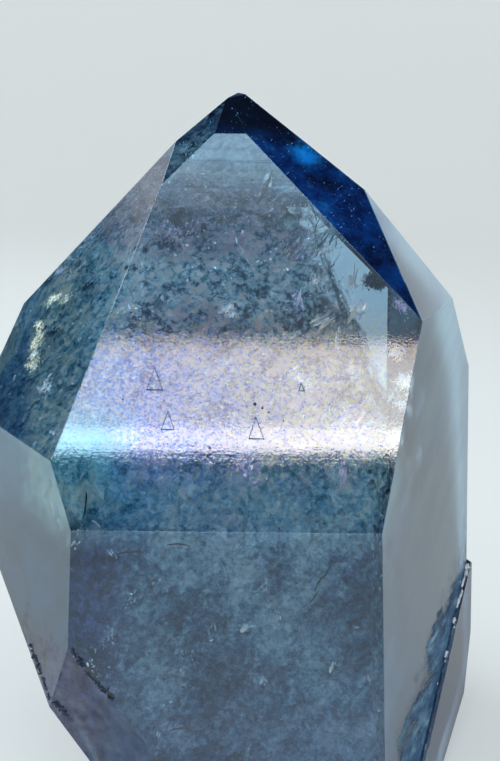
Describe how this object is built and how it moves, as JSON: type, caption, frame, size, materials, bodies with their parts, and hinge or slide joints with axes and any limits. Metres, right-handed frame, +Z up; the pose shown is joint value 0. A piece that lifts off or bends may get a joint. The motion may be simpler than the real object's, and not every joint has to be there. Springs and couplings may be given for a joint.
{
  "type": "aqua aura quartz point",
  "caption": "Single six-sided quartz crystal with a faceted point and a blue metallic film, standing on a flat cut foot.",
  "frame": {"origin": "bottom centre of the bounding box, on the level of the flat cut foot", "axes": "+Z up along the crystal's long axis, -Y out of the broad front face, +X to the right seen from the front"},
  "size_m": [0.033, 0.028, 0.0424],
  "materials": {
    "aura_quartz": "polished natural faces under a thin iridescent metal film, blue inside"
  },
  "bodies": {
    "root": {"quartz_point": "aura_quartz"}
  },
  "joints": []
}
